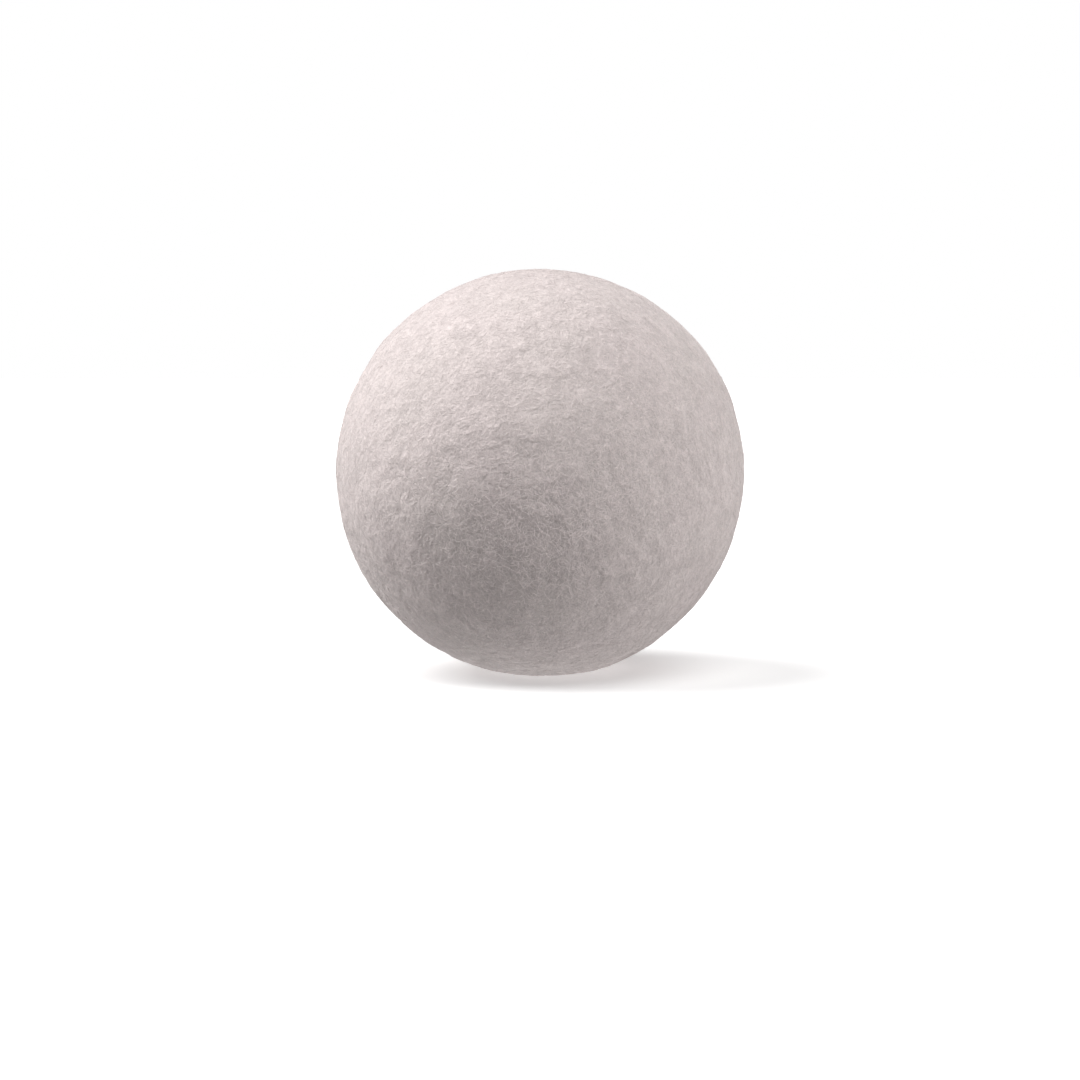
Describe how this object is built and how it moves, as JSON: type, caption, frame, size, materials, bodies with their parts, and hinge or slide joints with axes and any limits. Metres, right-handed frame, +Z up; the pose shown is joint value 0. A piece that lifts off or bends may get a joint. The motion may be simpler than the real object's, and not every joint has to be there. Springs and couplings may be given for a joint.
{
  "type": "dryer ball",
  "caption": "Round felted wool ball that tumbles with laundry in a dryer, built up of crosswise batt wraps over a rolled core, with a fine felt cover.",
  "frame": {"origin": "centre of the ball", "axes": "+Z up, away from the flat that the ball rests on; +X and +Y are level and otherwise free, because the outside is round about Z"},
  "size_m": [0.07, 0.07, 0.0696],
  "materials": {
    "felt_cover": "matte",
    "wool_batt": "matte",
    "coarse_wool": "matte"
  },
  "bodies": {
    "root": {"core_roll": "coarse_wool", "batt_wrap_1": "wool_batt", "batt_wrap_2": "wool_batt", "batt_wrap_3": "wool_batt", "batt_wrap_4": "wool_batt", "batt_wrap_5": "wool_batt", "batt_wrap_6": "wool_batt", "batt_wrap_7": "wool_batt", "batt_wrap_8": "wool_batt", "felt_cover": "felt_cover"}
  },
  "joints": []
}
